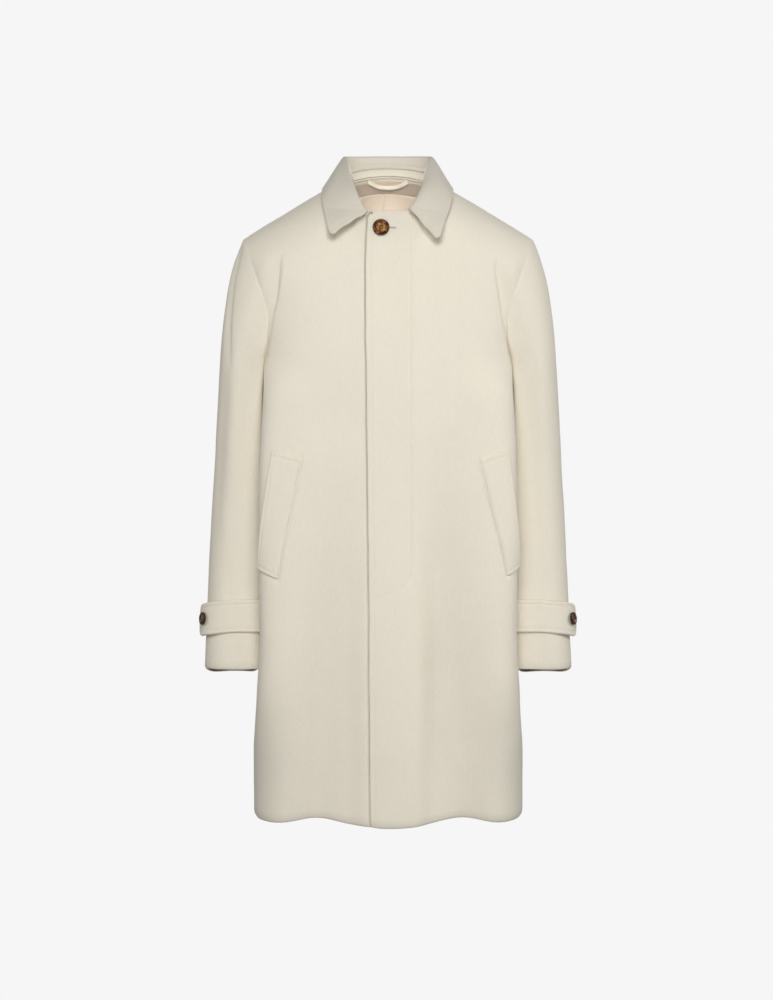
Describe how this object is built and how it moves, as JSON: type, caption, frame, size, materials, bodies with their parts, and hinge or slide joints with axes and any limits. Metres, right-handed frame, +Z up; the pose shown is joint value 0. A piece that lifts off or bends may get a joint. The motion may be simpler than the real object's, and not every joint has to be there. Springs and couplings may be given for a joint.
{
  "type": "single-breasted car coat",
  "caption": "Single-breasted wool car coat, hollow as worn, with a turn-down collar, fly front, slanted welt pockets, strapped cuffs and a satin lining seen in the neck.",
  "frame": {"origin": "midway between the neck points of the shoulders, where the coat is worn", "axes": "+X towards the wearer's left, -Y towards the front, +Z up"},
  "size_m": [0.5826, 0.3234, 1.0275],
  "materials": {
    "wool": "felted wool coating, matt, with a short nap",
    "lining": "smooth satin lining",
    "horn": "polished, mottled brown and amber"
  },
  "bodies": {
    "root": {"left_front": "wool", "right_front": "wool", "back_left": "wool", "back_right": "wool", "left_top_sleeve": "wool", "right_top_sleeve": "wool", "left_under_sleeve": "wool", "right_under_sleeve": "wool", "collar_leaf": "wool", "collar_stand": "wool", "left_pocket_welt": "wool", "right_pocket_welt": "wool", "left_sleeve_strap": "wool", "right_sleeve_strap": "wool", "hanger_loop": "wool", "back_neck_facing": "wool", "back_lining": "lining", "neck_button": "horn", "left_strap_button": "horn", "right_strap_button": "horn"}
  },
  "joints": []
}
